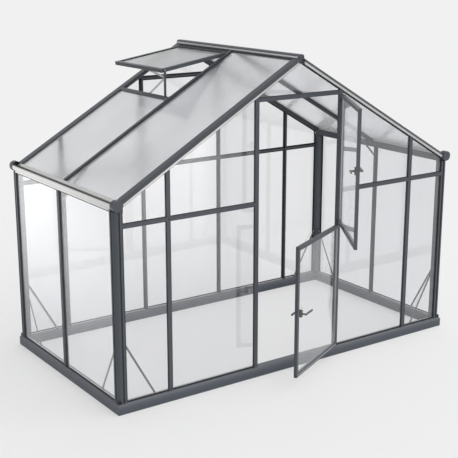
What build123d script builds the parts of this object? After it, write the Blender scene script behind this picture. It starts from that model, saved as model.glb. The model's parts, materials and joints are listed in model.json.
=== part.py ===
"""A small free-standing glass greenhouse on an aluminium base frame.

Millimetres, +Z up.  The origin is on the ground under the threshold, in the middle of the base
frame's front rail.  The gable with the door faces -Y and the gutters run along Y.  Each piece is
drawn about the middle of the house and set in place as it is saved.  Both leaves stand open.
"""
from build123d import *
from math import atan2, cos, degrees, radians, sin, tan
import os

# ---- driving dimensions: base frame ----
base_width = 2992.0          # across the gable, outside to outside
base_depth = 1584.0          # along the gutters, outside to outside
base_height = 72.0
base_rail = 56.0             # width of the base profile, seen from above
base_round = 16.0            # round on its outer top edge
wall_setback = 9.0           # from the base's outer face to the wall's outer face

# ---- walls: posts, glazing bars and glass ----
wall_depth = 32.0            # from the outer face of a bar's cap to the inner face of its web
post_size = 60.0             # side of a corner post
post_round = 32.0            # round on a post's outer corner
post_groove = 12.0           # width of the groove beside the rounded corner
post_groove_depth = 9.0
bar_width = 30.0             # cap of a wall bar
cap_depth = 10.0             # thickness of that cap
web_width = 12.0             # web behind the cap
glass_thickness = 4.0
jamb_offset = 370.0          # middle of a door jamb from the middle of the gable
mullion_offset = 1083.0      # middle of an outer mullion from the middle of the gable
transom_drop = 138.0         # middle of the transoms below the gutters' middle
header_drop = 266.0          # middle of the header over the door below the ridge
rail_height = 28.0           # cap of a transom or header
middle_bar_offset = 18.0     # bars between the panes of a side wall or slope, behind its middle

# ---- roof ----
roof_pitch = 30.0
gutter_inset = 34.0          # middle of a gutter from the base's outer face
eave_height = 1415.0         # middle of a gutter above the ground
gutter_radius = 34.0
gutter_wall = 4.0
gutter_rim = 15.0            # outer rim of the trough above the gutter's middle
end_cap_radius = 37.5
end_cap_thickness = 6.0
end_cap_sleeve = 36.0        # how far a cap reaches over the gutter's end
roof_pane_thickness = 6.0
pane_flange = 8.0            # ledge under the panes' lower edges, beyond the gutter
pane_flange_thickness = 6.0
drip_start = 14.0            # drip strip's lower edge, up the slope from the gutter's middle
drip_thickness = 2.0
drip_lip = 6.0               # strip's turned-down edge below the panes' top face
rafter_width = 74.0          # cap of a gable rafter
rafter_rise = 7.0            # top of that cap above the panes' top face
rafter_cap_drop = 13.0       # its underside below them
rafter_outer_round = 18.0
rafter_inner_round = 8.0
rafter_grip = 8.0            # how far a pane stands in the side of the cap
rafter_web_start = 19.0      # from the rafter's outer face to its web
rafter_web_end = 56.0
rafter_drop = 27.0           # foot of the rafter below the panes' top face
strip_inset = 2.0            # bare strip behind the rafter's outer face
roof_bar_width = 26.0
roof_bar_rise = 8.0
roof_bar_cap_drop = 13.0
roof_bar_drop = 30.0
ridge_half = 27.0            # half the width of the ridge
ridge_inset = 20.0           # from the gable's outermost face to the ridge's end
ridge_foot_drop = 34.0       # foot of the ridge beam below the slopes' meeting line
ridge_shoulder_rise = 6.0    # ridge cap's foot above that line
ridge_rise = 20.0            # ridge's top above it
ridge_crown_half = 13.0      # half the width of the flat on top
ridge_cap_flank = 5.0        # height of the cap's upright flank
ridge_cap_round = 5.0
ridge_strip_height = 11.0    # bare strip on the side of the ridge
ridge_strip_thickness = 2.0
ridge_end_drop = 16.0        # foot of an end cap below the slopes' meeting line
glazing_gap = 2.0            # beside a pane, where its edge stands in a bar
seat_gap = 0.3               # where a piece rests against a round one

# ---- roof vent, propped open ----
vent_sill_offset = 574.0     # middle of its sill from the middle of the house
vent_length = 600.0          # sash, down the slope
vent_side_gap = 2.0          # between the sash and the bar or rafter beside it
vent_open = 20.9             # degrees above the roof
vent_rail = 26.0
vent_rail_rise = 8.0         # the sash's frame above its hinge's middle
vent_rail_drop = 18.0
vent_hinge_radius = 6.0
vent_hinge_rise = 6.0        # hinge's middle above the foot of the ridge beam
sill_width = 30.0
sill_rise = 8.0
opener_width = 14.0
opener_thickness = 5.0
opener_offset = 330.0        # along the gutter from the middle of the house
opener_elbow = 198.0         # elbow up the slope from the sill
opener_elbow_rise = 18.0     # elbow above the panes
opener_sash_inset = 13.0     # upper end of the opener from the sash's free edge
stay_width = 18.0
stay_thickness = 5.0
stay_inset = 26.0            # middle of the stay from the sash's free edge
stay_end = 6.0               # how far it runs past its pin
stay_pin_radius = 4.0

# ---- door leaves ----
leaf_gap = 7.0               # between the wall's outer face and the back of a closed leaf
leaf_depth = 22.0
leaf_rail = 27.0
leaf_overlap = 5.0           # a closed leaf over the jamb
hinge_reach = 6.0            # from the hinge axis to the edge of a leaf
leaf_foot_height = 90.0
leaf_split_height = 1039.0   # middle of the gap between the two leaves
leaf_split_gap = 6.0
leaf_top_drop = 9.0          # top of the upper leaf below the header's middle
lower_open = 26.5            # degrees from closed, at rest
upper_open = 57.7
pin_radius = 3.0
pin_clearance = 0.3
knuckle_radius = 5.5
knuckle_length = 26.0
bracket_width = 8.0
bracket_height = 14.0
knuckle_gap = 0.5
hinge_inset = 14.0           # hinge from the end of its leaf
handle_reach = 652.0         # spindle from the hinge axis
lower_handle_rise = 452.0    # spindle above the foot of the leaf
upper_handle_rise = 520.0
plate_width = 24.0
plate_height = 54.0
plate_depth = 9.0
plate_round = 9.6
stem_radius = 6.0
stem_length = 26.0
lever_height = 13.0
lever_depth = 8.0
outer_lever = 105.0          # towards the hinge
inner_lever = 60.0           # towards the free edge, short of the jamb

# ---- braces ----
brace_width = 14.0
brace_thickness = 4.0
brace_rise = 420.0           # up the post from the base
brace_run = 235.0            # along the base from the post
knee_drop = 120.0            # a knee brace's foot below the gutter's middle
knee_run = 185.0             # how far it reaches into the house

# ---- worked out ----
half_width = base_width / 2
half_depth = base_depth / 2
side_face = half_width - wall_setback
gable_face = half_depth - wall_setback
side_inner = side_face - wall_depth
gable_inner = gable_face - wall_depth
post_inner_x = side_face - post_size
post_inner_y = gable_face - post_size
slope_tan = tan(radians(roof_pitch))
slope_cos = cos(radians(roof_pitch))
slope_sin = sin(radians(roof_pitch))
eave_offset = half_width - gutter_inset
ridge_height = eave_height + eave_offset * slope_tan
transom_height = eave_height - transom_drop
header_height = ridge_height - header_drop
slope_length = eave_offset / slope_cos
post_top = eave_height - end_cap_radius      # also the top of the side panes
rafter_start = end_cap_radius + seat_gap     # up the slope from the gutter's middle
flange_end = gutter_radius + pane_flange
bar_start = flange_end
pane_start = drip_start + drip_thickness
glass_front = cap_depth                      # depth of the glass behind the wall's outer face
glass_back = cap_depth + glass_thickness
leaf_half = jamb_offset - bar_width / 2 + leaf_overlap
hinge_x = leaf_half + hinge_reach
hinge_y = -(gable_face + leaf_gap + leaf_depth / 2)


def box(x0, x1, y0, y1, z0, z1):
    """A block between two corners."""
    middle = ((x0 + x1) / 2, (y0 + y1) / 2, (z0 + z1) / 2)
    return Pos(*middle) * Box(abs(x1 - x0), abs(y1 - y0), abs(z1 - z0))


def solids(shape):
    """The separate solids of a shape or of a list of shapes."""
    found = []
    for one in shape if isinstance(shape, (list, tuple)) else [shape]:
        found += one.solids()
    return found


def save(name, shape):
    """Write one sub-part, whose solids don't touch, with the threshold at the origin."""
    pieces = [Pos(0, half_depth - base_rail / 2, 0) * one for one in solids(shape)]
    whole = pieces[0] if len(pieces) == 1 else Compound(children=pieces)
    whole.label = name
    export_step(whole, os.path.join("parts", name + ".step"))


def flip_x(shape):
    return [one.mirror(Plane.YZ) for one in solids(shape)]


def flip_y(shape):
    return [one.mirror(Plane.XZ) for one in solids(shape)]


def prism_y(points, y0, y1):
    """A polygon in X and Z, run along Y."""
    face = make_face(Polyline(*[(x, 0, z) for x, z in points], close=True))
    return Pos(0, y0, 0) * extrude(face, amount=y1 - y0, dir=(0, 1, 0))


os.makedirs("parts", exist_ok=True)


# ---- base frame: four rails, mitred at the corners ----
def base_side(length, offset):
    """A rail along X whose outer face stands at -Y by offset, its ends mitred."""
    half = length / 2
    rail = box(-half, half, -offset, -offset + base_rail, 0, base_height)
    outer_top = rail.edges().filter_by(Axis.X).sort_by(Axis.Z)[-2:].sort_by(Axis.Y)[0]
    rail = fillet(outer_top, base_round)
    corner = [(-half, -offset), (half, -offset), (half - base_rail, -offset + base_rail),
              (-half + base_rail, -offset + base_rail)]
    mitre = extrude(make_face(Polyline(*[(x, y, 0) for x, y in corner], close=True)), amount=base_height)
    return rail & mitre


front_rail = base_side(base_width, half_depth)
left_rail = Rot(0, 0, -90) * base_side(base_depth, half_width)
save("base_front", front_rail)
save("base_back", flip_y(front_rail))
save("base_left", left_rail)
save("base_right", flip_x(left_rail))


# ---- corner posts: rounded outside, a groove beside the round on each face ----
def corner_post():
    """The post at -X, -Y."""
    x0 = -side_face
    y0 = -gable_face
    post = box(x0, x0 + post_size, y0, y0 + post_size, base_height, post_top)
    edge = post.edges().filter_by(Axis.Z).sort_by(Axis.X)[:2].sort_by(Axis.Y)[0]
    post = fillet(edge, post_round)
    start = post_round
    end = post_round + post_groove
    post -= box(x0 + start, x0 + end, y0, y0 + post_groove_depth, base_height, post_top)
    post -= box(x0, x0 + post_groove_depth, y0 + start, y0 + end, base_height, post_top)
    return post


front_left_post = corner_post()
save("corner_post_front_left", front_left_post)
save("corner_post_front_right", flip_x(front_left_post))
save("corner_post_back_left", flip_y(front_left_post))
save("corner_post_back_right", flip_y(flip_x(front_left_post)))

# ---- gable walls ----
gable_peak = ridge_height - rafter_drop / slope_cos       # where the rafters' undersides would meet
ridge_foot = ridge_height - ridge_foot_drop
beside_gutter = eave_offset - rafter_start
gable_side = [(eave_offset, 0), (eave_offset, post_top), (beside_gutter, post_top),
              (beside_gutter, gable_peak - beside_gutter * slope_tan),
              (ridge_half, gable_peak - ridge_half * slope_tan), (ridge_half, ridge_foot)]
gable_shape = gable_side + [(-x, z) for x, z in reversed(gable_side)]
under_rafters = prism_y(gable_shape, -half_depth, half_depth)


def gable_bar(x):
    """An upright bar of the front gable, up to the rafter: a cap outside and a web behind it."""
    y = -gable_face
    back = y + wall_depth
    cap = box(x - bar_width / 2, x + bar_width / 2, y, y + cap_depth, base_height, ridge_height)
    web = box(x - web_width / 2, x + web_width / 2, y + cap_depth, back, base_height, ridge_height)
    return (cap + web) & under_rafters


def gable_rail(left, right, z):
    """A level bar between two uprights: its cap ends at their caps, its web at their webs."""
    y = -gable_face
    cap = box(left[0] + left[1], right[0] - right[1], y, y + cap_depth,
              z - rail_height / 2, z + rail_height / 2)
    web = box(left[0] + left[2], right[0] - right[2], y + cap_depth, y + wall_depth,
              z - web_width / 2, z + web_width / 2)
    return cap + web


def gable_pane(left, right, z0, z1):
    """A pane between two uprights, behind their caps and clear of their webs, cut to the roof."""
    y = -gable_face
    x0 = left[0] + left[3]
    x1 = right[0] - right[3]
    return box(x0, x1, y + glass_front, y + glass_back, z0, z1) & under_rafters


def bar_at(x):
    """An upright as its middle, half its cap, half its web and the reach of its glass groove."""
    return (x, bar_width / 2, web_width / 2, web_width / 2 + glazing_gap)


left_post = (-post_inner_x, 0, 0, 0)
right_post = (post_inner_x, 0, 0, 0)
left_mullion = bar_at(-mullion_offset)
right_mullion = bar_at(mullion_offset)
left_jamb = bar_at(-jamb_offset)
right_jamb = bar_at(jamb_offset)
left_bays = [(left_post, left_mullion), (left_mullion, left_jamb)]
right_bays = [(right_jamb, right_mullion), (right_mullion, right_post)]
groove = web_width / 2 + glazing_gap
above_transom = transom_height + groove
below_transom = transom_height - groove
above_header = header_height + groove
below_header = header_height - groove

save("front_mullions", [gable_bar(x) for x in (-mullion_offset, mullion_offset)])
save("door_jamb_left", gable_bar(-jamb_offset))
save("door_jamb_right", gable_bar(jamb_offset))
save("front_transoms", [gable_rail(a, b, transom_height) for a, b in left_bays + right_bays])
save("door_header", gable_rail(left_jamb, right_jamb, header_height))


def wall_panes(bays):
    lower = [gable_pane(a, b, base_height, below_transom) for a, b in bays]
    upper = [gable_pane(a, b, above_transom, ridge_height) for a, b in bays]
    return lower + upper


gable_peak_pane = gable_pane(left_jamb, right_jamb, above_header, ridge_height)
save("front_glass_left", wall_panes(left_bays))
save("front_glass_right", wall_panes(right_bays))
save("gable_glass_front", gable_peak_pane)

# the back gable repeats the front, with the middle bay glazed too
back_bays = left_bays + [(left_jamb, right_jamb)] + right_bays
back_uprights = [-mullion_offset, -jamb_offset, jamb_offset, mullion_offset]
save("back_mullions", flip_y([gable_bar(x) for x in back_uprights]))
save("back_transoms", flip_y([gable_rail(a, b, transom_height) for a, b in back_bays]))
save("back_header", flip_y(gable_rail(left_jamb, right_jamb, header_height)))
middle_panes = [gable_pane(left_jamb, right_jamb, base_height, below_transom),
                gable_pane(left_jamb, right_jamb, above_transom, below_header), gable_peak_pane]
save("back_glass", flip_y(wall_panes(left_bays + right_bays) + middle_panes))


# ---- side walls: one mullion in the middle of each ----
def side_mullion():
    x = -side_face
    y = middle_bar_offset
    cap = box(x, x + cap_depth, y - bar_width / 2, y + bar_width / 2, base_height, post_top)
    web = box(x + cap_depth, x + wall_depth, y - web_width / 2, y + web_width / 2, base_height, post_top)
    return cap + web


def side_panes():
    x0 = -side_face + glass_front
    x1 = -side_face + glass_back
    return [box(x0, x1, -post_inner_y, middle_bar_offset - groove, base_height, post_top),
            box(x0, x1, middle_bar_offset + groove, post_inner_y, base_height, post_top)]


save("side_mullion_left", side_mullion())
save("side_mullion_right", flip_x(side_mullion()))
save("side_glass_left", side_panes())
save("side_glass_right", flip_x(side_panes()))


# ---- roof frame: drawn with X up the left slope and Z square to it, then set in place ----
def on_slope(shape):
    return Pos(-eave_offset, 0, eave_height) * Rot(0, -roof_pitch, 0) * shape


# ---- eaves: a round gutter, open on top, with a ledge for the panes and a rail over the side panes ----
def gutter():
    """The gutter at -X: a tube cut open from its outer rim to the panes' underside."""
    axis = Pos(-eave_offset, 0, eave_height) * Rot(90, 0, 0)
    bore = axis * Cylinder(gutter_radius - gutter_wall, base_depth)
    tube = axis * Cylinder(gutter_radius, base_depth) - bore
    tube -= box(-half_width * 2, -eave_offset, -half_depth, half_depth,
                eave_height + gutter_rim, eave_height + gutter_radius)
    over_panes = on_slope(box(-slope_length, slope_length, -base_depth, base_depth,
                              -roof_pane_thickness, slope_length))
    tube -= over_panes & box(-eave_offset, 0, -half_depth, half_depth, 0, ridge_height)
    ledge_foot = -roof_pane_thickness - pane_flange_thickness
    ledge_end = half_depth - rafter_width
    ledge = on_slope(box(0, flange_end, -ledge_end, ledge_end, ledge_foot, -roof_pane_thickness))
    rail = box(-side_face, -side_inner, -post_inner_y, post_inner_y, post_top, eave_height)
    return tube + (ledge - bore) + (rail - bore)


left_gutter = gutter()
save("gutter_left", left_gutter)
save("gutter_right", flip_x(left_gutter))


def end_cap():
    """The cap on the left gutter's front end: a disc and a sleeve over the tube."""
    def roll(radius, y0, y1):
        return Pos(-eave_offset, (y0 + y1) / 2, eave_height) * Rot(90, 0, 0) * Cylinder(radius, y1 - y0)

    whole = roll(end_cap_radius, -half_depth - end_cap_thickness, -half_depth + end_cap_sleeve)
    return whole - roll(gutter_radius + seat_gap, -half_depth, -half_depth + end_cap_sleeve)


caps = solids(end_cap()) + flip_x(end_cap())
save("gutter_end_caps", caps + flip_y(caps))


def drip_strip():
    """Over the lower edges of the left slope's panes, between the gutter's end caps."""
    end = half_depth - end_cap_sleeve
    flat = box(drip_start, rafter_start, -end, end, 0, drip_thickness)
    lip = box(drip_start, pane_start, -end, end, -drip_lip, drip_thickness)
    return on_slope(flat + lip)


save("drip_strips", solids(drip_strip()) + flip_x(drip_strip()))

# ---- rafters and glazing bars ----
beside_ridge = box(-half_width * 2, -ridge_half, -base_depth, base_depth, 0, ridge_height * 2)


def rafter():
    """The left rafter of the front gable: a rounded cap, grooved for the panes, and a web."""
    y0 = -half_depth
    y1 = y0 + rafter_width
    cap = box(rafter_start, slope_length, y0, y1, -rafter_cap_drop, rafter_rise)
    top_edges = cap.edges().filter_by(Axis.X).sort_by(Axis.Z)[-2:].sort_by(Axis.Y)
    cap = fillet(top_edges[0], rafter_outer_round)
    inner_edge = cap.edges().filter_by(Axis.X).sort_by(Axis.Y)[-2:].sort_by(Axis.Z)[-1]
    cap = fillet(inner_edge, rafter_inner_round)
    cap -= box(0, slope_length, y1 - rafter_grip - glazing_gap, y1, -roof_pane_thickness, 0)
    web = box(rafter_start, slope_length, y0 + rafter_web_start, y0 + rafter_web_end,
              -rafter_drop, -rafter_cap_drop)
    return on_slope(cap + web) & beside_ridge


def barge_strip():
    """The bare strip under the cap's outer edge."""
    strip = box(rafter_start, slope_length, -half_depth + strip_inset, -half_depth + rafter_web_start,
                -rafter_drop, -rafter_cap_drop)
    return on_slope(strip) & beside_ridge


def roof_bar():
    """The glazing bar between the panes of the left slope."""
    y = middle_bar_offset
    cap = box(bar_start, slope_length, y - roof_bar_width / 2, y + roof_bar_width / 2,
              -roof_bar_cap_drop, roof_bar_rise)
    for side in (-1, 1):
        cap -= box(0, slope_length, y + side * groove, y + side * roof_bar_width, -roof_pane_thickness, 0)
    web = box(bar_start, slope_length, y - web_width / 2, y + web_width / 2,
              -roof_bar_drop, -roof_bar_cap_drop)
    return on_slope(cap + web) & beside_ridge


left_rafter = rafter()
save("rafter_front_left", left_rafter)
save("rafter_front_right", flip_x(left_rafter))
save("rafter_back_left", flip_y(left_rafter))
save("rafter_back_right", flip_y(flip_x(left_rafter)))
strips = solids(barge_strip()) + flip_x(barge_strip())
save("barge_strips", strips + flip_y(strips))
save("roof_bars", solids(roof_bar()) + flip_x(roof_bar()))

# ---- ridge: a beam with a bare strip on each side, and a cap with sloping shoulders ----
ridge_shoulder = ridge_height + ridge_shoulder_rise
ridge_crown = ridge_height + ridge_rise
strip_foot = ridge_shoulder - ridge_strip_height
beam_neck = ridge_half - ridge_strip_thickness
ridge_end = half_depth - ridge_inset
beam_half = [(ridge_half, ridge_foot), (ridge_half, strip_foot), (beam_neck, strip_foot),
             (beam_neck, ridge_shoulder)]
beam_section = beam_half + [(-x, z) for x, z in reversed(beam_half)]
save("ridge_beam", prism_y(beam_section, -ridge_end, ridge_end))
ridge_strip = box(beam_neck, ridge_half, -ridge_end, ridge_end, strip_foot, ridge_shoulder)
save("ridge_strips", solids(ridge_strip) + flip_x(ridge_strip))


def ridge_top(foot, y0, y1):
    """The section of the ridge's cap, down to a given foot, with rounded shoulders."""
    half = [(ridge_half, foot), (ridge_half, ridge_shoulder + ridge_cap_flank),
            (ridge_crown_half, ridge_crown)]
    block = prism_y(half + [(-x, z) for x, z in reversed(half)], y0, y1)
    return fillet(block.edges().filter_by(Axis.Y).sort_by(Axis.Z)[-4:], ridge_cap_round)


save("ridge_cap", ridge_top(ridge_shoulder, -ridge_end, ridge_end))
end_plate = ridge_top(ridge_height - ridge_end_drop, -ridge_end - end_cap_thickness, -ridge_end)
save("ridge_end_caps", solids(end_plate) + flip_y(end_plate))

# ---- roof panes ----
pane_end = half_depth - rafter_width + rafter_grip
before_bar = middle_bar_offset - groove
behind_bar = middle_bar_offset + groove
sill_s = (eave_offset - vent_sill_offset) / slope_cos


def roof_pane(y0, y1, top):
    """A pane of the left slope, from the drip strip up to a given place."""
    return on_slope(box(pane_start, top, y0, y1, -roof_pane_thickness, 0)) & beside_ridge


front_pane = roof_pane(-pane_end, before_bar, slope_length)
back_pane = roof_pane(behind_bar, pane_end, slope_length)
save("roof_pane_left_front", front_pane)
save("roof_pane_left_back", roof_pane(behind_bar, pane_end, sill_s))
save("roof_panes_right", flip_x(front_pane) + flip_x(back_pane))

# ---- roof vent: a sash hinged at the ridge and held open by a folding opener ----
sill_y0 = middle_bar_offset + roof_bar_width / 2
sill_y1 = half_depth - rafter_width
sill_cap = box(sill_s - sill_width / 2, sill_s + sill_width / 2, sill_y0, sill_y1, 0, sill_rise)
sill_web = box(sill_s, sill_s + web_width, sill_y0, sill_y1, -rafter_drop, 0)
save("vent_sill", on_slope(sill_cap + sill_web))

vent_x = -ridge_half - vent_hinge_radius - seat_gap
vent_z = ridge_foot + vent_hinge_rise
vent_pitch = roof_pitch - vent_open
vent_y0 = sill_y0 + vent_side_gap
vent_y1 = sill_y1 - vent_side_gap


def on_sash(shape):
    """X runs up the sash to its hinge at zero, Z square to it."""
    return Pos(vent_x, 0, vent_z) * Rot(0, -vent_pitch, 0) * shape


sash = box(-vent_length, 0, vent_y0, vent_y1, -vent_rail_drop, vent_rail_rise)
sash -= box(-vent_length + vent_rail, -vent_rail, vent_y0 + vent_rail, vent_y1 - vent_rail,
            -vent_rail_drop, vent_rail_rise)
roll = Pos(0, (vent_y0 + vent_y1) / 2, 0) * Rot(90, 0, 0) * Cylinder(vent_hinge_radius, vent_y1 - vent_y0)
save("vent_sash", on_sash(sash + roll))
vent_glass = box(-vent_length + vent_rail, -vent_rail, vent_y0 + vent_rail, vent_y1 - vent_rail,
                 -roof_pane_thickness / 2, roof_pane_thickness / 2)
save("vent_pane", on_sash(vent_glass))


def arm(start, end, y0):
    """A flat bar between two points of the X, Z plane, with its thickness along Y."""
    run = end[0] - start[0]
    rise = end[1] - start[1]
    length = (run * run + rise * rise) ** 0.5
    bar = box(0, length, 0, opener_thickness, -opener_width / 2, opener_width / 2)
    return Pos(start[0], y0, start[1]) * Rot(0, -degrees(atan2(rise, run)), 0) * bar


def slope_point(s, n):
    """The X and Z of a point s up the slope and n above the panes' top face."""
    return (-eave_offset + s * slope_cos - n * slope_sin, eave_height + s * slope_sin + n * slope_cos)


foot = slope_point(sill_s + web_width, -opener_width / 2 - glazing_gap)
elbow = slope_point(sill_s + opener_elbow, opener_elbow_rise)
sash_run = vent_length - opener_sash_inset
sash_end = (vent_x - sash_run * cos(radians(vent_pitch)), vent_z - sash_run * sin(radians(vent_pitch)))
arms = arm(foot, elbow, opener_offset) + arm(elbow, sash_end, opener_offset + opener_thickness)
pivot = Pos(elbow[0], opener_offset + opener_thickness, elbow[1]) * Rot(90, 0, 0)
arms += pivot * Cylinder(opener_width / 2, 2 * opener_thickness)
above_sash = on_sash(box(-2 * vent_length, vent_length, 0, base_depth, -vent_rail_drop, vent_length))
lower_side = on_slope(box(0, sill_s + web_width, 0, base_depth, -base_depth, base_depth))
save("vent_opener", arms - above_sash - lower_side)

# a stay stands on the middle bar and is pinned to the sash's front corner
stay_x = vent_x - vent_length * cos(radians(vent_pitch)) + stay_inset
stay_pin_z = vent_z + (stay_x - vent_x) * tan(radians(vent_pitch))
stay = box(stay_x - stay_width / 2, stay_x + stay_width / 2, sill_y0 - stay_thickness, sill_y0,
           eave_height, stay_pin_z + stay_end)
stay &= on_slope(box(0, slope_length, -half_depth, half_depth, roof_bar_rise, slope_length))
stay_pin = Pos(stay_x, (sill_y0 + vent_y0) / 2, stay_pin_z) * Rot(90, 0, 0)
save("vent_stay", stay + stay_pin * Cylinder(stay_pin_radius, vent_side_gap))

# ---- door: two leaves, one over the other, hinged on the right jamb and opening outwards ----
lower_z = (leaf_foot_height, leaf_split_height - leaf_split_gap / 2)
upper_z = (leaf_split_height + leaf_split_gap / 2, header_height - leaf_top_drop)
leaf_width = 2 * leaf_half
leaf_end = hinge_reach + leaf_width


def set_leaf(shape, angle):
    """From the closed leaf, its hinge axis at the origin, to its open place."""
    return Pos(hinge_x, hinge_y, 0) * Rot(0, 0, angle) * shape


def knuckle_feet(z0, z1):
    """The foot of each of a leaf's two hinge knuckles."""
    return [z0 + hinge_inset, z1 - hinge_inset - knuckle_length]


def leaf_frame(z0, z1):
    half = leaf_depth / 2
    frame = box(-leaf_end, -hinge_reach, -half, half, z0, z1)
    frame -= box(-leaf_end + leaf_rail, -hinge_reach - leaf_rail, -half, half,
                 z0 + leaf_rail, z1 - leaf_rail)
    for foot_z in knuckle_feet(z0, z1):
        middle = foot_z + knuckle_length / 2
        frame += box(-hinge_reach, 0, -pin_radius, pin_radius, foot_z, foot_z + knuckle_length)
        frame += Pos(0, 0, middle) * Cylinder(knuckle_radius, knuckle_length)
        frame -= Pos(0, 0, middle) * Cylinder(pin_radius + pin_clearance, knuckle_length)
    return frame


def leaf_glass(z0, z1):
    return box(-leaf_end + leaf_rail, -hinge_reach - leaf_rail, -glass_thickness / 2, glass_thickness / 2,
               z0 + leaf_rail, z1 - leaf_rail)


def half_handle(z, lever):
    """The plate, stem and lever on the back of the glass; a minus lever points at the hinge."""
    y = glass_thickness / 2
    x = -handle_reach
    plate = box(x - plate_width / 2, x + plate_width / 2, y, y + plate_depth, z - plate_height / 2,
                z + plate_height / 2)
    plate = fillet(plate.edges().filter_by(Axis.Y), plate_round)
    stem_end = y + plate_depth + stem_length
    stem = Pos(x, (y + plate_depth + stem_end) / 2, z) * Rot(90, 0, 0) * Cylinder(stem_radius, stem_length)
    tip = x + (-stem_radius if lever < 0 else stem_radius)
    bar = box(x - lever, tip, stem_end, stem_end + lever_depth, z - lever_height / 2, z + lever_height / 2)
    return plate + stem + bar


def handle(z):
    inner = half_handle(z, inner_lever)
    outer = half_handle(z, -outer_lever).mirror(Plane.XZ)
    return solids(inner) + solids(outer)


def hinge_brackets():
    """On the jamb: a block and its pin under each knuckle."""
    found = []
    for foot_z in knuckle_feet(*lower_z) + knuckle_feet(*upper_z):
        top_z = foot_z - knuckle_gap
        block = box(hinge_x - bracket_width / 2, hinge_x + bracket_width / 2, hinge_y, -gable_face,
                    top_z - bracket_height, top_z)
        block += Pos(hinge_x, hinge_y, top_z - bracket_height / 2) * Cylinder(knuckle_radius, bracket_height)
        pin_length = bracket_height + knuckle_gap + knuckle_length
        pin_middle = top_z - bracket_height + pin_length / 2
        block += Pos(hinge_x, hinge_y, pin_middle) * Cylinder(pin_radius, pin_length)
        found.append(block)
    return found


leaves = [("lower_leaf", lower_z, lower_open, lower_handle_rise),
          ("upper_leaf", upper_z, upper_open, upper_handle_rise)]
for name, span, angle, handle_rise in leaves:
    save(name + "_frame", set_leaf(leaf_frame(*span), angle))
    save(name + "_glass", set_leaf(leaf_glass(*span), angle))
    save(name + "_handle", [set_leaf(one, angle) for one in handle(span[0] + handle_rise)])
save("door_hinges", hinge_brackets())


# ---- braces: flat bars across the foot of each corner, and knees under the roof bars ----
def strut(x0, z0, x1, z1, y0):
    """A flat bar in the X, Z plane through two points, run past both."""
    run = x1 - x0
    rise = z1 - z0
    length = (run * run + rise * rise) ** 0.5
    bar = box(-brace_width, length + brace_width, 0, brace_thickness, -brace_width / 2, brace_width / 2)
    return Pos(x0, y0, z0) * Rot(0, -degrees(atan2(rise, run)), 0) * bar


def corner_brace(post_side, wall_inner):
    """Along the front wall from the post at -X: its ends stop on the post and on the base."""
    bar = strut(-post_side, base_height + brace_rise, -post_side + brace_run, base_height, -wall_inner)
    return bar & box(-post_side, 0, -half_width, half_width, base_height, eave_height)


gable_brace = corner_brace(post_inner_x, gable_inner)
side_brace = Rot(0, 0, -90) * corner_brace(post_inner_y, side_inner).mirror(Plane.YZ)
gable_braces = solids(gable_brace) + flip_x(gable_brace)
side_braces = solids(side_brace) + flip_y(side_brace)
save("front_braces", gable_braces)
save("back_braces", flip_y(gable_braces))
save("left_braces", side_braces)
save("right_braces", flip_x(side_braces))

knee_top = slope_point((eave_offset - side_inner + knee_run) / slope_cos, -roof_bar_drop)
knee = strut(-side_inner, eave_height - knee_drop, knee_top[0], knee_top[1],
             middle_bar_offset - brace_thickness / 2)
under_bars = on_slope(box(-slope_length, slope_length, -base_depth, base_depth,
                          -slope_length, -roof_bar_drop))
knee = knee & under_bars & box(-side_inner, 0, -half_width, half_width, 0, ridge_height)
save("knee_braces", solids(knee) + flip_x(knee))
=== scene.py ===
"""The looks of a small glass greenhouse: its finishes, and the bolts, seals and fittings on its parts."""

from math import cos, pi, radians, sin
import json

import bmesh
import bpy
from mathutils import Matrix, Vector


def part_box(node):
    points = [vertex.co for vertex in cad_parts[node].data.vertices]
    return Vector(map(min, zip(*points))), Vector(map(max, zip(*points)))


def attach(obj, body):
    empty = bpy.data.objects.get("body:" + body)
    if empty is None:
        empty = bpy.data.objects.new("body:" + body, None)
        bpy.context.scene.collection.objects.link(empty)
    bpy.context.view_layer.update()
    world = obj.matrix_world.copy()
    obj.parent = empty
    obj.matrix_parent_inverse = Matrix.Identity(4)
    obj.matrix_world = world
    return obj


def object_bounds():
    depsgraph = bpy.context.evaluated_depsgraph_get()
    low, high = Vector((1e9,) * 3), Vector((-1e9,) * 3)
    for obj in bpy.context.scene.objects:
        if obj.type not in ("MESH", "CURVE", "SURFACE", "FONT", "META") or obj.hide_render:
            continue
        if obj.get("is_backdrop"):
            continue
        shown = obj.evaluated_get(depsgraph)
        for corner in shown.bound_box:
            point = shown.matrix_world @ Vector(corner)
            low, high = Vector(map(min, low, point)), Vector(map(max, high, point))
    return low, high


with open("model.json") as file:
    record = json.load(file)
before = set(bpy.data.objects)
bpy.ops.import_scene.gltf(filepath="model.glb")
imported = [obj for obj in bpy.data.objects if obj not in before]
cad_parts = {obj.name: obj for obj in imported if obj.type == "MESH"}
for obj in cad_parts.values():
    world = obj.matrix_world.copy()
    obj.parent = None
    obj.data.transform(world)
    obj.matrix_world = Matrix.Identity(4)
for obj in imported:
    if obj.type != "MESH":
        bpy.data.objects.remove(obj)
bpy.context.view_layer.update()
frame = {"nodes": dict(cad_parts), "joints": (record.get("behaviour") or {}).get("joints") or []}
nodes = frame["nodes"]


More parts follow.
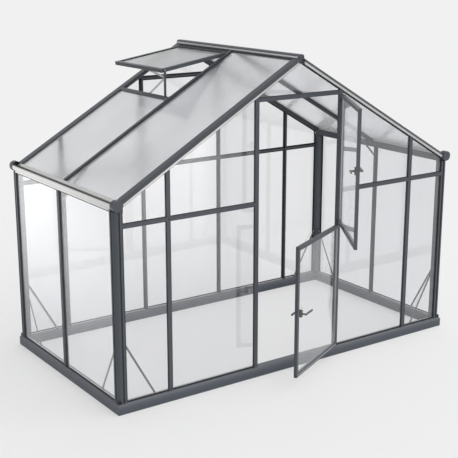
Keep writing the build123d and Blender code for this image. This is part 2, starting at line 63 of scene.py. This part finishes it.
# ---- base frame ----
# Four extruded aluminium rails, mitred and bolted at the corners.  They are powder coated in a
# satin blue-black, with the fine orange peel of such a coat.  A bare glazing channel is screwed to
# each rail's top behind the glass, and coated pan-head screws hold the corner cleats inside.
class Value:
    """A socket in a finish.  Arithmetic on it adds Math nodes."""

    def __init__(self, finish, socket):
        self.finish = finish
        self.socket = socket

    def maths(self, operation, *values):
        return self.finish.node("Math", {"operation": operation}, dict(enumerate(values)))

    def __add__(self, other):
        return self.maths("ADD", self, other)

    def __radd__(self, other):
        return self.maths("ADD", other, self)

    def __mul__(self, other):
        return self.maths("MULTIPLY", self, other)

    def __rmul__(self, other):
        return self.maths("MULTIPLY", other, self)

    def __pow__(self, other):
        return self.maths("POWER", self, other)


class Finish:
    """A material whose patterns lie on a piece's Object coordinates, in metres, or a world."""

    def __init__(self, name, kind="materials", **shader):
        self.material = getattr(bpy.data, kind).new(name)
        self.material.use_nodes = True
        self.tree = self.material.node_tree
        self.output, self.surface = sorted(self.tree.nodes, key=lambda node: "Output" not in node.name)
        self.place = self.node("TexCoord", {}, {}, "Object")
        for socket, value in shader.items():
            self.set(socket.replace("_", " "), value)

    def node(self, kind, settings, inputs, output=0):
        """Any node: its settings first, then what goes into its sockets."""
        made = self.tree.nodes.new("ShaderNode" + kind)
        for name, value in settings.items():
            setattr(made, name, value)
        for name, value in inputs.items():
            self.feed(made.inputs[name], value)
        return Value(self, made.outputs[output])

    def feed(self, socket, value):
        if isinstance(value, Value):
            self.tree.links.new(value.socket, socket)
        else:
            socket.default_value = value

    def set(self, socket, value):
        """A value or a link for one of the sockets of the surface or background shader."""
        self.feed(self.surface.inputs[socket], value)

    def noise(self, scale, detail=2.0, place=None):
        return self.node("TexNoise", {}, {"Vector": place or self.place, "Scale": scale, "Detail": detail})

    def rising(self, axis, start, end):
        """An amount that goes from 0 to 1 between two places along an axis."""
        place = self.node("SeparateXYZ", {}, {"Vector": self.place}, axis)
        return self.node("MapRange", {}, {"Value": place, "From Min": start, "From Max": end})

    def blend(self, amount, first, second):
        """One colour to the other by an amount from 0 to 1."""
        first, second = (end if isinstance(end, Value) else (*end, 1) for end in (first, second))
        return self.node("Mix", {"data_type": "RGBA"}, {0: amount, 6: first, 7: second}, 2)

    def bump(self, height, depth):
        self.set("Normal", self.node("Bump", {}, {"Height": height, "Distance": depth, "Strength": 0.6}))

    def mix(self, amount, first, second):
        """One shader to the other by an amount from 0 to 1."""
        return self.node("MixShader", {}, {0: amount, 1: first, 2: second})

    def ray(self, kind):
        """1 for one kind of ray and 0 for the others."""
        return self.node("LightPath", {}, {}, f"Is {kind} Ray")

    def show(self, shader):
        self.tree.links.new(shader.socket, self.output.inputs["Surface"])

    def solid(self):
        return Value(self, self.surface.outputs[0])


def powder_coat(name, dark, light, roughness, painted_sheen=None):
    """A satin powder coat, clouded between two close colours.

    The painted sheen is a painted highlight, paler towards the top: the height where it starts, the height
    where it is full, and its colour.
    """
    coat = Finish(name, IOR=1.5, Specular_IOR_Level=0.2)
    cloud = coat.noise(5.0, 4.0)
    colour = coat.blend(cloud, dark, light)
    if painted_sheen:
        start, full, pale = painted_sheen
        # painted highlight: the coat turns paler towards the top, standing in for the sky's reflection
        colour = coat.blend(coat.rising("Z", start, full) ** 2.0, colour, pale)
    coat.set("Base Color", colour)
    coat.set("Roughness", roughness + 0.10 * cloud)
    coat.bump(coat.noise(900.0, 1.0), 0.0002)
    return coat.material


def mill_aluminium(name, dark, light, along):
    """Bare aluminium with a satin mill finish, whose fine lines run along one axis."""
    metal = Finish(name, Metallic=0.6, IOR=1.5)
    squash = [700.0, 700.0, 700.0]
    squash[along] = 6.0
    lines = metal.noise(1.0, 3.0, metal.node("Mapping", {}, {"Vector": metal.place, "Scale": squash}))
    metal.set("Base Color", metal.blend(metal.noise(4.0), dark, light))
    metal.set("Roughness", 0.36 + 0.16 * lines)
    metal.bump(lines, 0.0001)
    return metal.material


def least(name):
    """The lowest corner of a CAD node."""
    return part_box(name)[0]


def most(name):
    """The highest corner of a CAD node."""
    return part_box(name)[1]


def dress(material, *starts):
    """Gives a finish to the CAD nodes whose names start so."""
    for name, node in nodes.items():
        if name.startswith(starts):
            node.data.materials.clear()
            node.data.materials.append(material)


def placed(name, mesh, material):
    """An object from its mesh."""
    data = bpy.data.meshes.new(name)
    mesh.to_mesh(data)
    mesh.free()
    data.materials.append(material)
    made = bpy.data.objects.new(name, data)
    bpy.context.scene.collection.objects.link(made)
    return made


def finished(name, mesh, material, body="house"):
    """A piece of the greenhouse from its mesh, on the body it moves with."""
    bmesh.ops.remove_doubles(mesh, verts=mesh.verts, dist=0.00001)
    bmesh.ops.recalc_face_normals(mesh, faces=mesh.faces)
    made = placed(name, mesh, material)
    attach(made, body)


def block(mesh, low, high, edge=0.0008, turn=None):
    """A bar or plate between two corners, with its edges broken, and turned if asked."""
    low, high = Vector(low), Vector(high)
    made = bmesh.ops.create_cube(mesh, size=1.0)["verts"]
    bmesh.ops.scale(mesh, verts=made, vec=high - low)
    bmesh.ops.translate(mesh, verts=made, vec=(low + high) / 2)
    edges = list({e for v in made for e in v.link_edges})
    cut = bmesh.ops.bevel(mesh, geom=edges, offset=edge, segments=2, profile=0.5, affect="EDGES",
                          material=-1)
    if turn:
        bmesh.ops.transform(mesh, matrix=turn, verts=list({v for f in cut["faces"] for v in f.verts}))


def turned(mesh, profile, at, along):
    """A round piece from (radius, height) points, standing at a point along a direction.

    A vertex is tagged once its piece stands in its place.
    """
    made = [mesh.verts.new((r, 0, h)) for r, h in profile]
    edges = [mesh.edges.new(pair) for pair in zip(made, made[1:])]
    bmesh.ops.spin(mesh, geom=made + edges, axis=(0, 0, 1), cent=(0, 0, 0), angle=2 * pi, steps=20,
                   use_merge=True, use_duplicate=False)
    verts = [v for v in mesh.verts if not v.tag]
    stand = Matrix.Translation(at) @ Vector(along).to_track_quat("Z", "Y").to_matrix().to_4x4()
    bmesh.ops.transform(mesh, matrix=stand, verts=verts)
    for v in verts:
        v.tag = True


def pan_heads(name, places, material, size=0.0045):
    """Pan-head screws on their washers, at each point and direction.  The size is the head's radius."""
    mesh = bmesh.new()
    washer = 0.25 * size
    profile = [(0, 0.9 * size), (0.55 * size, 0.82 * size), (0.9 * size, 0.5 * size),
               (size, washer), (1.5 * size, washer), (1.55 * size, 0), (0, 0)]
    for at, along in places:
        turned(mesh, profile, at, along)
    finished(name, mesh, material)


# The base rails' coat carries a painted highlight: it is painted paler towards their top.
base_coat = powder_coat("base_powder_coat", (0.066, 0.075, 0.090), (0.080, 0.090, 0.107), 0.36,
                        (0.020, 0.074, (0.150, 0.160, 0.178)))
dress(base_coat, "base_")

aluminium_x = mill_aluminium("mill_aluminium_across", (0.52, 0.52, 0.51), (0.60, 0.60, 0.59), 0)
aluminium_y = mill_aluminium("mill_aluminium_along", (0.52, 0.52, 0.51), (0.60, 0.60, 0.59), 1)
base_top = most("base_front").z
post_inner, mullion_outer = least("corner_post_front_right").x, most("front_mullions").x
jamb_inner, jamb_outer = least("door_jamb_right").x, most("door_jamb_right").x
bar_width = jamb_outer - jamb_inner
right_bays = [(jamb_outer, mullion_outer - bar_width), (mullion_outer, post_inner)]
left_bays = [(-x1, -x0) for x0, x1 in reversed(right_bays)]
middle_bay = [(-jamb_inner, jamb_inner)]
channel_width, channel_height = 0.012, 0.005
channels = bmesh.new()
for y, bays in ((most("front_transoms").y - channel_width, left_bays + right_bays),
                (least("back_transoms").y, left_bays + middle_bay + right_bays)):
    for x0, x1 in bays:
        block(channels, (x0, y, base_top), (x1, y + channel_width, base_top + channel_height))
finished("gable_glazing_channels", channels, aluminium_x)
front_post, back_post = most("corner_post_front_right").y, least("corner_post_back_right").y
side_bar_start, side_bar_end = least("side_mullion_right").y, most("side_mullion_right").y
side_channel, glass_gap = 0.013, 0.003
side_channel_outer = least("side_glass_right").x - glass_gap
channels = bmesh.new()
for side in (-1, 1):
    x0, x1 = sorted((side * side_channel_outer, side * (side_channel_outer - side_channel)))
    for y0, y1 in ((front_post, side_bar_start), (side_bar_end, back_post)):
        block(channels, (x0, y0, base_top), (x1, y1, base_top + channel_height))
finished("side_glazing_channels", channels, aluminium_y)

rail_inner, front_rail, back_rail = least("base_right").x, most("base_front").y, least("base_back").y
cleats = []
for side in (-1, 1):
    for along in (0.045, 0.105):
        for z in (0.022, 0.052):
            cleats += [((side * (rail_inner - along), front_rail, z), (0, 1, 0)),
                       ((side * (rail_inner - along), back_rail, z), (0, -1, 0)),
                       ((side * rail_inner, front_rail + along, z), (-side, 0, 0)),
                       ((side * rail_inner, back_rail - along, z), (-side, 0, 0))]
pan_heads("base_cleat_screws", cleats, base_coat)


# ---- corner posts, wall bars and rafters ----
# Extruded aluminium bars, powder coated in satin anthracite.  They stand on the base frame, and
# black pan-head screws fix them at the foot and where they cross.  A black block at the foot of
# each corner post, just proud of its two outer faces, is painted shadow for the gap under its end.
def middle(name):
    """The middle of a CAD node's box."""
    return (least(name) + most(name)) / 2


frame_coat = powder_coat("frame_powder_coat", (0.064, 0.071, 0.082), (0.078, 0.086, 0.098), 0.34)
dress(frame_coat, "corner_post", "front_mullions", "front_transoms", "door_jamb", "door_header",
      "back_mullions", "back_transoms", "back_header", "side_mullion", "rafter", "roof_bars", "ridge_beam",
      "ridge_cap", "ridge_end", "vent_sash", "vent_sill", "vent_stay", "gutter_end", "lower_leaf_frame",
      "upper_leaf_frame")
black_oxide = powder_coat("black_screws", (0.012, 0.012, 0.014), (0.022, 0.022, 0.025), 0.32)
front_face, back_face = least("front_transoms").y, most("back_transoms").y
side_face = most("corner_post_front_right").x
mullion_x, jamb_x, post_x = mullion_outer - bar_width / 2, middle("door_jamb_right").x, post_inner + 0.018
foot_z, transom_z, eave_z = base_top + 0.016, middle("front_transoms").z, 1.36
header_z = round(middle("back_header").z, 3)
places = []
for x in (-mullion_x, mullion_x):
    for z in (foot_z, transom_z):
        places += [((x, front_face, z), (0, -1, 0)), ((x, back_face, z), (0, 1, 0))]
for x in (-jamb_x, jamb_x):
    for z in (foot_z, transom_z, header_z):
        places.append(((x, back_face, z), (0, 1, 0)))
for side in (-1, 1):
    for z in (foot_z, eave_z):
        places.append(((side * side_face, middle("side_mullion_right").y, z), (side, 0, 0)))
    places.append(((side * post_x, front_face, foot_z), (0, -1, 0)))
    places.append(((side * post_x, back_face, foot_z), (0, 1, 0)))
pan_heads("bar_screws", places, black_oxide, 0.0035)

# Painted shadow: black blocks at each corner post's foot stand in for the shade in the gap under its end.
shadow_block_proud, shadow_block_edge = 0.0007, 0.001
shadow_block_low, shadow_block_high = base_top - 0.0005, base_top + 0.020
shadow_block_side = side_face + shadow_block_proud
gable_wing, eave_wing = (0.0217, 0.005), (0.0042, 0.044)
foot_shadow_blocks = bmesh.new()
for side in (-1, 1):
    for face, inward in ((front_face - shadow_block_proud, 1), (back_face + shadow_block_proud, -1)):
        for across, along in (gable_wing, eave_wing):
            x0, x1 = sorted((side * shadow_block_side, side * (shadow_block_side - across)))
            y0, y1 = sorted((face, face + inward * along))
            block(foot_shadow_blocks, (x0, y0, shadow_block_low), (x1, y1, shadow_block_high), shadow_block_edge)
finished("post_foot_painted_shadow", foot_shadow_blocks, black_oxide)


# ---- wall glass ----
# Clear float glass, 4 mm thick, held in the bars' grooves by black rubber glazing strips.  It
# mirrors more the flatter it is seen, and carries a faint bloom of dust.
def clear_glass(name, tint, bloom):
    """Clear glass of a tint, where bloom is the share of its face that dust can take."""
    glass = Finish(name, Base_Color=(0.9, 0.92, 0.95, 1), Roughness=0.4)
    flat = glass.node("LayerWeight", {}, {"Blend": 0.5}, "Facing")
    through = glass.node("BsdfTransparent", {}, {"Color": (*tint, 1)})
    mirror = glass.node("BsdfGlossy", {}, {"Color": (1, 1, 1, 1), "Roughness": 0.03})
    clean = glass.mix(0.07 + 0.93 * flat ** 5.0, through, mirror)
    glass.show(glass.mix(bloom * glass.noise(2.5, 3.0), clean, glass.solid()))
    return glass.material


def pane_strips(starts, out, width, proud, thickness):
    """A strip round each pane of some nodes, over the pane's edge on both of its faces."""
    weld, least_facing, least_area = 0.00005, 0.9, 0.02
    out = Vector(out).normalized()
    mesh = bmesh.new()
    for name, node in nodes.items():
        if name.startswith(starts):
            mesh.from_mesh(node.data)
    bmesh.ops.remove_doubles(mesh, verts=mesh.verts, dist=weld)
    bmesh.ops.dissolve_limit(mesh, angle_limit=radians(1), verts=mesh.verts, edges=mesh.edges)
    spare = [f for f in mesh.faces if f.normal.dot(out) < least_facing or f.calc_area() < least_area]
    bmesh.ops.delete(mesh, geom=spare, context="FACES")
    panes = list(mesh.faces)
    bmesh.ops.inset_region(mesh, faces=panes, thickness=width, use_boundary=True, use_even_offset=True)
    bmesh.ops.delete(mesh, geom=panes, context="FACES")
    bmesh.ops.translate(mesh, verts=mesh.verts, vec=out * proud)
    pulled = bmesh.ops.extrude_face_region(mesh, geom=list(mesh.faces))["geom"]
    moved = [g for g in pulled if isinstance(g, bmesh.types.BMVert)]
    bmesh.ops.translate(mesh, verts=moved, vec=-out * (thickness + 2 * proud))
    return mesh


dress(clear_glass("float_glass", (0.957, 0.958, 0.963), 0.04), "front_glass", "gable_glass", "back_glass",
      "lower_leaf_glass", "upper_leaf_glass")
dress(clear_glass("side_float_glass", (0.942, 0.944, 0.952), 0.05), "side_glass")

rubber = Finish("glazing_rubber", IOR=1.45)
rubber.set("Base Color", rubber.blend(rubber.noise(30.0, 3.0), (0.012, 0.012, 0.013), (0.026, 0.026, 0.028)))
rubber.set("Roughness", 0.55 + 0.2 * rubber.noise(60.0))
rubber.bump(rubber.noise(700.0, 1.0), 0.0002)
glass, strip, lip = 0.004, 0.010, 0.0012
for name, starts, out in (("front_glazing_strips", ("front_glass", "gable_glass_front"), (0, -1, 0)),
                          ("back_glazing_strips", ("back_glass",), (0, 1, 0)),
                          ("left_glazing_strips", ("side_glass_left",), (-1, 0, 0)),
                          ("right_glazing_strips", ("side_glass_right",), (1, 0, 0))):
    finished(name, pane_strips(starts, out, strip, lip, glass), rubber.material)

# ---- gutters ----
# Bare extruded aluminium troughs along both eaves, with a drip strip under the panes' lower edges.
# Coated caps are pushed over their ends, each with one screw.  A coated angle lines the wall under
# each trough's inner edge, and a thin black strip in the glazing rubber lies along its outer rim.
dress(aluminium_y, "gutter_left", "gutter_right", "drip_strips", "ridge_strips")
cap_x, cap_z = 1.462, 1.415
cap_ends = ((least("gutter_end_caps").y, -1), (most("gutter_end_caps").y, 1))
caps = [((side * cap_x, y, cap_z), (0, out, 0)) for side in (-1, 1) for y, out in cap_ends]
pan_heads("gutter_cap_screws", caps, frame_coat, 0.004)

gutter_start, gutter_end = least("gutter_right").y, most("gutter_right").y
post_top = most("corner_post_front_right").z
liner_short, liner_inner, liner_outer, liner_top = 0.044, 1.4165, 1.4195, 1.424
ledge_outer, ledge_thickness = 1.449, 0.004
liners = bmesh.new()
for side in (-1, 1):
    for outer, bottom, top in ((liner_outer, post_top - 0.0005, liner_top),
                               (ledge_outer, post_top - ledge_thickness, post_top)):
        x0, x1 = sorted((side * liner_inner, side * outer))
        block(liners, (x0, gutter_start + liner_short, bottom), (x1, gutter_end - liner_short, top))
finished("eave_liners", liners, frame_coat)

# Thin black strips in the glazing rubber lie along the troughs' outer rims, darkening the line there.
rim_short, rim_inner, rim_outer, rim_low, rim_high = 0.046, 1.4875, 1.4935, 1.4275, 1.4345
rims = bmesh.new()
for side in (-1, 1):
    x0, x1 = sorted((side * rim_outer, side * rim_inner))
    block(rims, (x0, gutter_start + rim_short, rim_low), (x1, gutter_end - rim_short, rim_high))
finished("gutter_rim_black_strips", rims, rubber.material)

# ---- gable strips ----
# A bare aluminium strip closes the underside of each gable rafter.  It has the mill finish of the
# glazing channels.
dress(aluminium_x, "barge_strips")

# ---- ridge ----
# An aluminium beam with a coated cap over it.  A coated end plate with two black screws closes it at
# each gable.
ridge_screw_x, ridge_screw_z = 0.015, 2.256
ridge_ends = ((least("ridge_end_caps").y, -1), (most("ridge_end_caps").y, 1))
ends = [((side * ridge_screw_x, y, ridge_screw_z), (0, out, 0)) for side in (-1, 1) for y, out in ridge_ends]
pan_heads("ridge_end_screws", ends, black_oxide, 0.003)


# ---- roof panes ----
# Frosted safety glass, 6 mm thick, with a black rubber seal round each pane's edge.  Light passes
# through it and what stands behind it is blurred, the more so the farther it is from the pane.
def frosted_glass(name, dark, light):
    """Rough glass that lets the light through to what it covers, clouded at random between two tints; darker
    tints are painted shade.
    """
    glass = Finish(name, Transmission_Weight=1.0, IOR=1.45, Specular_IOR_Level=0.3)
    glass.set("Base Color", glass.blend(glass.noise(2.2), dark, light))
    glass.set("Roughness", 0.15 + 0.03 * glass.noise(3.0))
    letting = glass.node("BsdfTransparent", {}, {"Color": (0.92, 0.925, 0.93, 1)})
    for_sight = glass.mix(glass.ray("Diffuse"), glass.solid(), letting)
    glass.show(glass.mix(glass.ray("Shadow"), for_sight, letting))
    return glass.material


# The left slope's and the vent's panes are darker copies of the right slope's glass: painted shade, the
# vent's the darkest.
dress(frosted_glass("frosted_glass_left_painted_shade", (0.70, 0.71, 0.72), (0.90, 0.91, 0.92)), "roof_pane_left")
dress(frosted_glass("frosted_glass_right", (0.95, 0.96, 0.97), (0.98, 0.99, 1.0)), "roof_panes_right")
dress(frosted_glass("frosted_glass_vent_painted_shade", (0.30, 0.31, 0.32), (0.62, 0.63, 0.64)), "vent_pane")
slope = radians(30)
sheet, seal, seal_lip = 0.006, 0.0105, 0.0008
for name, starts, out in (("left_roof_seals", ("roof_pane_left",), (-sin(slope), 0, cos(slope))),
                          ("right_roof_seals", ("roof_panes_right",), (sin(slope), 0, cos(slope)))):
    finished(name, pane_strips(starts, out, seal, seal_lip, sheet), rubber.material)

# ---- roof vent ----
# A hinged sash with a rubber seal round its pane.  It is held open by an opener of two bare flat
# arms, riveted at their ends and where they cross, and by a stay riveted to its corner.
aluminium_z = mill_aluminium("mill_aluminium_upright", (0.46, 0.46, 0.45), (0.56, 0.56, 0.55), 2)
dress(aluminium_z, "vent_opener")
vent_slope = radians(9.1)
vent_out = (-sin(vent_slope), 0, cos(vent_slope))
vent_seal, vent_lip = 0.004, 0.001
finished("vent_seal", pane_strips(("vent_pane",), vent_out, vent_seal, vent_lip, sheet), rubber.material)

zinc = Finish("zinc_plated_screws", Metallic=0.85)
zinc.set("Base Color", zinc.blend(zinc.noise(60.0), (0.42, 0.42, 0.41), (0.56, 0.56, 0.55)))
zinc.set("Roughness", 0.30 + 0.2 * zinc.noise(200.0))
arms_front, arms_back = least("vent_opener").y, most("vent_opener").y
arms_between = middle("vent_opener").y
(cross_x, cross_z), (arm_x, arm_z), (sash_x, sash_z) = (-0.4115, 2.0423), (-0.548, 1.935), (-0.590, 2.1265)
stay_face, stay_x, stay_foot, stay_head = least("vent_stay").y, -0.600, 1.930, 2.138
rivets = [((cross_x, arms_back, cross_z), (0, 1, 0)), ((cross_x, arms_front, cross_z), (0, -1, 0)),
          ((arm_x, arms_between, arm_z), (0, 1, 0)), ((arm_x, arms_front, arm_z), (0, -1, 0)),
          ((sash_x, arms_back, sash_z), (0, 1, 0)),
          ((stay_x, stay_face, stay_head), (0, -1, 0)), ((stay_x, stay_face, stay_foot), (0, -1, 0))]
pan_heads("vent_rivets", rivets, zinc.material, 0.0038)

# ---- braces ----
# Flat steel bars, zinc plated and dulled, bolted across each lower corner and from the side bars to
# the roof bars.
steel = Finish("dull_zinc_steel", Metallic=0.35, IOR=1.5)
steel.set("Base Color", steel.blend(steel.noise(25.0, 4.0), (0.085, 0.088, 0.092), (0.125, 0.128, 0.132)))
steel.set("Roughness", 0.42 + 0.15 * steel.noise(80.0))
steel.bump(steel.noise(600.0, 1.0), 0.0001)
dress(steel.material, "front_braces", "back_braces", "left_braces", "right_braces", "knee_braces")
rise, run, bolt_from_end = 0.420, 0.235, 0.022
share = bolt_from_end / (rise * rise + run * run) ** 0.5
side_brace, knee_brace = least("right_braces").x, least("knee_braces").y
bolts = []
for side in (-1, 1):
    for post, gable_brace, inward in ((front_post, most("front_braces").y, 1),
                                      (back_post, least("back_braces").y, -1)):
        for t in (share, 1 - share):
            z = base_top + rise * (1 - t)
            bolts += [((side * (post_inner - run * t), gable_brace, z), (0, inward, 0)),
                      ((side * side_brace, post + inward * run * t, z), (-side, 0, 0))]
    for x, z in ((1.438, 1.312), (1.285, 1.478)):
        bolts.append(((side * x, knee_brace, z), (0, -1, 0)))
pan_heads("brace_bolts", bolts, zinc.material, 0.0042)

# ---- door leaves ----
# Two leaves, each a coated frame round one pane.  Bare beads hold the pane on both faces, black
# blocks close the frame's corners, and bare strips run along its foot rail and hung stile.  Each
# leaf has a lever handle on both faces and swings on black hinge pins.
handle_metal = powder_coat("handle_coat", (0.115, 0.112, 0.095), (0.155, 0.150, 0.130), 0.34)
dress(handle_metal, "lower_leaf_handle", "upper_leaf_handle")
dress(black_oxide, "door_hinges")
bead_metal = mill_aluminium("dull_bead_aluminium", (0.26, 0.27, 0.28), (0.36, 0.37, 0.38), 2)
bead, bead_proud = 0.0045, 0.005
leaf_front, leaf_free, leaf_hung = -0.048, -0.360, 0.360
stile, corner_height = 0.020, 0.012
plate_proud, plate_sunk, plate_edge = 0.0008, 0.002, 0.0004


def plates(spans, swing):
    """Thin plates on the face of a leaf, each from (left, right, bottom, top) on the closed leaf."""
    mesh = bmesh.new()
    for left, right, bottom, top in spans:
        block(mesh, (left, leaf_front - plate_proud, bottom), (right, leaf_front + plate_sunk, top),
              plate_edge, swing)
    return mesh


for joint in frame["joints"]:
    leaf, hinge = joint["child"], Vector(joint["pos_m"])
    opened = radians(-joint["range_deg"][0])
    swing = Matrix.Translation(hinge) @ Matrix.Rotation(opened, 4, "Z") @ Matrix.Translation(-hinge)
    foot, head = round(least(leaf + "_frame").z, 3), round(most(leaf + "_frame").z, 3)
    out = swing.to_3x3() @ Vector((0, -1, 0))
    beads = pane_strips((leaf + "_glass",), out, bead, bead_proud, glass)
    finished(leaf + "_beads", beads, bead_metal, leaf)
    corners = [(x + 0.001, x + stile - 0.001, z + 0.0005, z + corner_height - 0.0005)
               for x in (leaf_free, leaf_hung - stile) for z in (foot, head - corner_height)]
    finished(leaf + "_corner_blocks", plates(corners, swing), black_oxide, leaf)
    foot_span = (leaf_free + 0.021, leaf_hung - 0.021, foot + 0.009, foot + 0.017)
    finished(leaf + "_foot_strip", plates([foot_span], swing), bead_metal, leaf)
    stile_span = (leaf_hung - 0.016, leaf_hung - 0.007, foot + 0.014, head - 0.014)
    finished(leaf + "_stile_strip", plates([stile_span], swing), steel.material, leaf)


# ---- studio: floor, backdrop, light and camera ----
# A pale floor runs back to the horizon under a white sky that is brighter on one side, and keeps the
# soft shadow.  Two glowing cards, which only reflections show, stand beside the left and front glass.
def sheet_between(low, high):
    """A flat upright rectangle between two corners."""
    mesh = bmesh.new()
    bmesh.ops.create_grid(mesh, x_segments=1, y_segments=1, size=0.5)
    spread = Vector(high) - Vector(low)
    for v in mesh.verts:
        across, up = v.co.x + 0.5, v.co.y + 0.5
        v.co = (low[0] + across * spread.x, low[1] + across * spread.y, low[2] + up * spread.z)
    return mesh


floor_mesh = bmesh.new()
bmesh.ops.create_grid(floor_mesh, x_segments=1, y_segments=1, size=150.0)
bmesh.ops.translate(floor_mesh, verts=floor_mesh.verts, vec=(0, 100, -0.0005))
paint = Finish("floor_paint", Base_Color=(0.87, 0.87, 0.87, 1), Roughness=0.9, Specular_IOR_Level=0.0)
pale = paint.node("Emission", {}, {"Color": (0.89, 0.89, 0.89, 1)})
reflected = paint.node("Emission", {}, {"Color": (0.86, 0.86, 0.87, 1)})
paint.show(paint.mix(paint.ray("Glossy"), paint.mix(0.45, paint.solid(), pale), reflected))
placed("floor", floor_mesh, paint.material)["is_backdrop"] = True

sky = Finish("studio", "worlds", Color=(1, 1, 1, 1))
direction = sky.node("TexCoord", {}, {}, "Generated")
lean = sky.node("VectorMath", {"operation": "DOT_PRODUCT"}, {0: direction, 1: (0.8, -0.45, 0.0)}, 1)
sky.set("Strength", 1.0 + lean * sky.ray("Diffuse") + -0.12 * sky.ray("Camera"))
bpy.context.scene.world = sky.material

for name, low, high, along, edge, full, strength in (
        ("side_reflector", (-1.8, 0.5, 0.0), (-1.8, 2.6, 1.4), "Y", -0.6, 2.2, 2.3),
        ("front_reflector", (-0.7, -1.5, 0.1), (0.45, -1.5, 1.9), "X", 0.42, 0.15, 2.2)):
    glow = Finish(name)
    filling = glow.rising("Z", low[2], 0.7 * high[2]) * glow.rising(along, edge, full)
    glow.show(glow.mix(filling, glow.node("BsdfTransparent", {}, {}),
                       glow.node("Emission", {}, {"Strength": strength})))
    card = placed(name, sheet_between(low, high), glow.material)
    for kind in ("camera", "diffuse", "transmission", "shadow"):
        setattr(card, "visible_" + kind, False)
    card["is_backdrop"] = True

camera = bpy.data.objects.new("camera", bpy.data.cameras.new("camera"))
bpy.context.scene.collection.objects.link(camera)
camera.data.lens = 80.4
camera.location = (-4.444, -5.517, 2.9345)
camera.rotation_euler = (radians(75), 0, radians(-34.92))
bpy.context.scene.camera = camera
bpy.context.scene.view_settings.view_transform = "Standard"

low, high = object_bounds()
